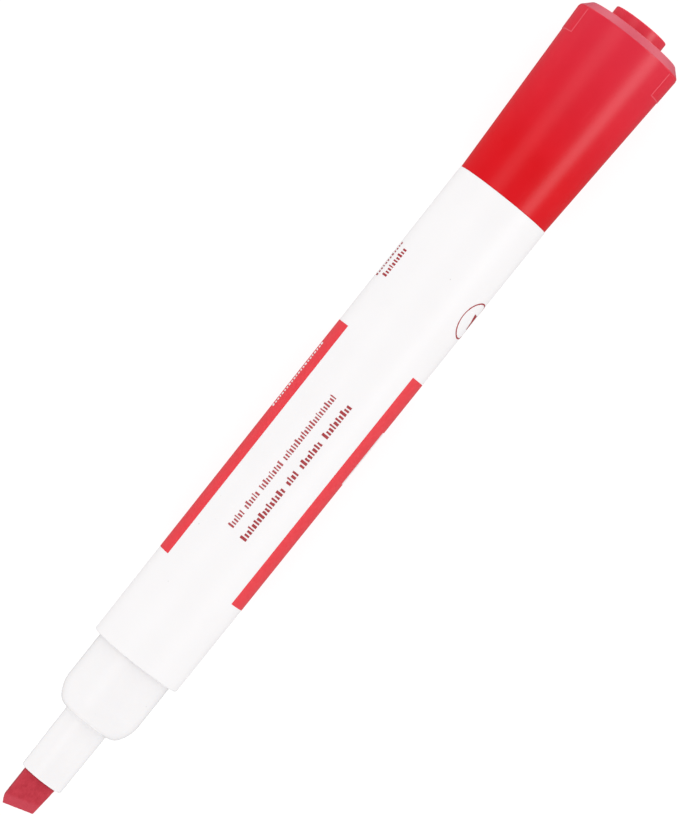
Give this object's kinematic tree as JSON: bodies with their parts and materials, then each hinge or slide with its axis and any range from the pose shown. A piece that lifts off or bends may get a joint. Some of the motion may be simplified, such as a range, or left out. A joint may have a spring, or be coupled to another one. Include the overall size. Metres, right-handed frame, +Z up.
{
  "type": "felt tip marker",
  "caption": "Chisel-nib dry-erase marker: tapered round barrel, stepped nose, slanted felt nib and a flared cap pushed onto the rear end.",
  "frame": {"origin": "on the surface the marker lies on, under the middle of its length; the marker's axis runs 9.75 mm above it", "axes": "+X along the marker's axis from the nib to the closed end of the cap, +Z up through the broad face of the nib, +Y towards the leading corner of the slanted nib"},
  "size_m": [0.159, 0.0196, 0.0195],
  "materials": {
    "barrel_plastic": "smooth white polypropylene with a soft gloss and red print",
    "nose_plastic": "smooth natural polypropylene, slightly milky",
    "nib_felt": "dense felt soaked with red ink, matte",
    "reservoir_fibre": "long polyester fibres soaked with red ink",
    "film": "clear thin film",
    "plug_plastic": "smooth white polypropylene",
    "cap_plastic": "red polypropylene, soft satin gloss",
    "inner_cap_plastic": "red polypropylene, soft satin gloss"
  },
  "bodies": {
    "marker": {"barrel": "barrel_plastic", "nose": "nose_plastic", "nib": "nib_felt", "reservoir_core": "reservoir_fibre", "reservoir_film": "film", "rear_plug": "plug_plastic"},
    "cap": {"cap_shell": "cap_plastic", "inner_cap": "inner_cap_plastic"}
  },
  "joints": [
    {"name": "cap_pull", "type": "slide", "parent": "marker", "child": "cap", "axis": [1, 0, 0], "range_m": [0, 0.045]}
  ]
}
